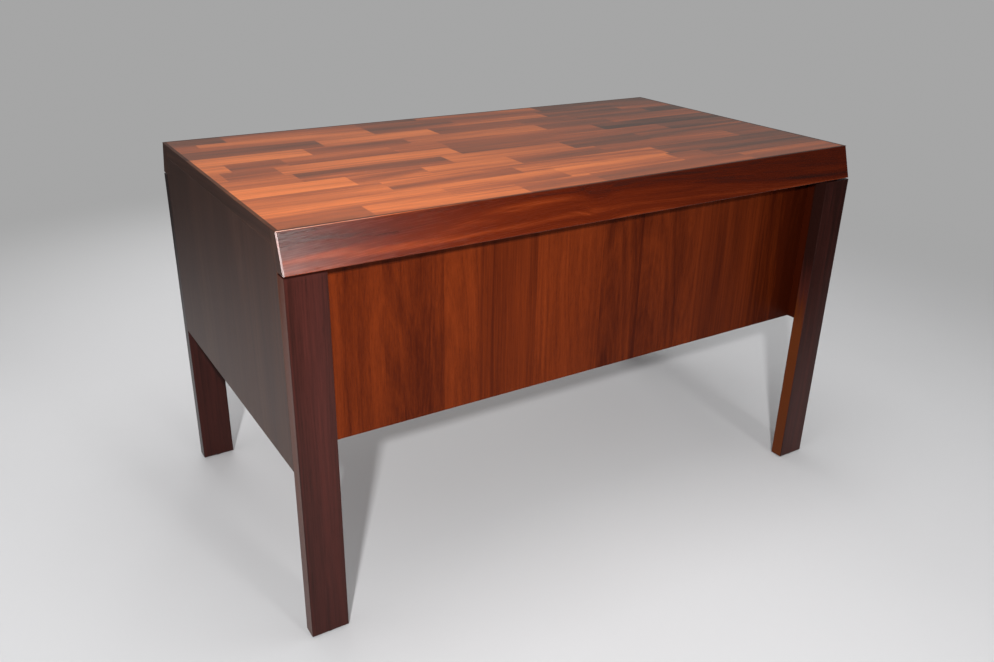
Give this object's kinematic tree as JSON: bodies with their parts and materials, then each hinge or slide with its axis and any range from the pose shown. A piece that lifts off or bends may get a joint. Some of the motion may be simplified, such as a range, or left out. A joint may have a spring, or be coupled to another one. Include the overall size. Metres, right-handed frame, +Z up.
{
  "type": "desk",
  "caption": "Double-pedestal writing desk with a patchwork veneer top, canted fascia boards, board legs, end and modesty panels, sliding drawers and a kneehole.",
  "frame": {"origin": "on the floor, under the middle of the top", "axes": "+X along the desk to the sitter's left, +Y towards the sitter, +Z up"},
  "size_m": [1.265, 0.719, 0.75],
  "materials": {
    "patchwork_rosewood": "staggered strips of rosewood veneer, satin lacquer",
    "rosewood_fascia": "figured rosewood, grain along the board, satin lacquer",
    "rosewood_leg": "dark rosewood, grain along the leg, satin lacquer",
    "rosewood_end_panel": "dark rosewood veneer, upright grain, satin lacquer",
    "rosewood_end_grain_band": "dark rosewood lipping, satin lacquer",
    "rosewood_modesty": "upright flitches of red rosewood veneer, satin lacquer",
    "rosewood_drawer_face": "rosewood veneer, grain along the face, satin lacquer",
    "rosewood_pull": "solid rosewood, satin lacquer",
    "pedestal_veneer": "plain red-brown veneer, satin lacquer",
    "core_board": "stained backing veneer",
    "drawer_hardwood": "pale solid hardwood, thin lacquer",
    "drawer_plywood": "thin plywood, unfinished",
    "strip_hardwood": "planed hardwood, waxed",
    "dowel_beech": "unfinished beech",
    "screw_steel": "zinc-plated steel",
    "glide_nylon": "dark moulded plastic"
  },
  "bodies": {
    "case": {"top_core": "core_board", "top_veneer": "patchwork_rosewood", "end_lipping_left": "rosewood_end_grain_band", "end_lipping_right": "rosewood_end_grain_band", "fascia_visitor_side": "rosewood_fascia", "fascia_sitter_side": "rosewood_fascia", "leg_visitor_left": "rosewood_leg", "leg_visitor_right": "rosewood_leg", "leg_sitter_left": "rosewood_leg", "leg_sitter_right": "rosewood_leg", "leg_glides": "glide_nylon", "end_panel_left": "rosewood_end_panel", "end_panel_right": "rosewood_end_panel", "end_panel_dowels": "dowel_beech", "modesty_panel": "rosewood_modesty", "pedestal_inner_side_left": "pedestal_veneer", "pedestal_inner_side_right": "pedestal_veneer", "pedestal_outer_side_left": "pedestal_veneer", "pedestal_outer_side_right": "pedestal_veneer", "pedestal_bottom_left": "pedestal_veneer", "pedestal_bottom_right": "pedestal_veneer", "drawer_runners": "strip_hardwood", "drawer_kickers": "strip_hardwood", "top_cleats": "strip_hardwood", "case_screws": "screw_steel"},
    "lower_drawer_left": {"lower_drawer_left_face": "rosewood_drawer_face", "lower_drawer_left_side_left": "drawer_hardwood", "lower_drawer_left_side_right": "drawer_hardwood", "lower_drawer_left_back": "drawer_hardwood", "lower_drawer_left_bottom": "drawer_plywood", "lower_drawer_left_pull": "rosewood_pull"},
    "upper_drawer_left": {"upper_drawer_left_face": "rosewood_drawer_face", "upper_drawer_left_side_left": "drawer_hardwood", "upper_drawer_left_side_right": "drawer_hardwood", "upper_drawer_left_back": "drawer_hardwood", "upper_drawer_left_bottom": "drawer_plywood", "upper_drawer_left_pull": "rosewood_pull"},
    "lower_drawer_right": {"lower_drawer_right_face": "rosewood_drawer_face", "lower_drawer_right_side_left": "drawer_hardwood", "lower_drawer_right_side_right": "drawer_hardwood", "lower_drawer_right_back": "drawer_hardwood", "lower_drawer_right_bottom": "drawer_plywood", "lower_drawer_right_pull": "rosewood_pull"},
    "upper_drawer_right": {"upper_drawer_right_face": "rosewood_drawer_face", "upper_drawer_right_side_left": "drawer_hardwood", "upper_drawer_right_side_right": "drawer_hardwood", "upper_drawer_right_back": "drawer_hardwood", "upper_drawer_right_bottom": "drawer_plywood", "upper_drawer_right_pull": "rosewood_pull"},
    "pencil_drawer": {"pencil_drawer_face": "rosewood_drawer_face", "pencil_drawer_side_left": "drawer_hardwood", "pencil_drawer_side_right": "drawer_hardwood", "pencil_drawer_back": "drawer_hardwood", "pencil_drawer_bottom": "drawer_plywood", "pencil_drawer_pull": "rosewood_pull"}
  },
  "joints": [
    {"name": "lower_drawer_left_slide", "type": "slide", "parent": "case", "child": "lower_drawer_left", "axis": [0, 1, 0], "range_m": [0, 0.38]},
    {"name": "upper_drawer_left_slide", "type": "slide", "parent": "case", "child": "upper_drawer_left", "axis": [0, 1, 0], "range_m": [0, 0.38]},
    {"name": "lower_drawer_right_slide", "type": "slide", "parent": "case", "child": "lower_drawer_right", "axis": [0, 1, 0], "range_m": [0, 0.38]},
    {"name": "upper_drawer_right_slide", "type": "slide", "parent": "case", "child": "upper_drawer_right", "axis": [0, 1, 0], "range_m": [0, 0.38]},
    {"name": "pencil_drawer_slide", "type": "slide", "parent": "case", "child": "pencil_drawer", "axis": [0, 1, 0], "range_m": [0, 0.29]}
  ]
}
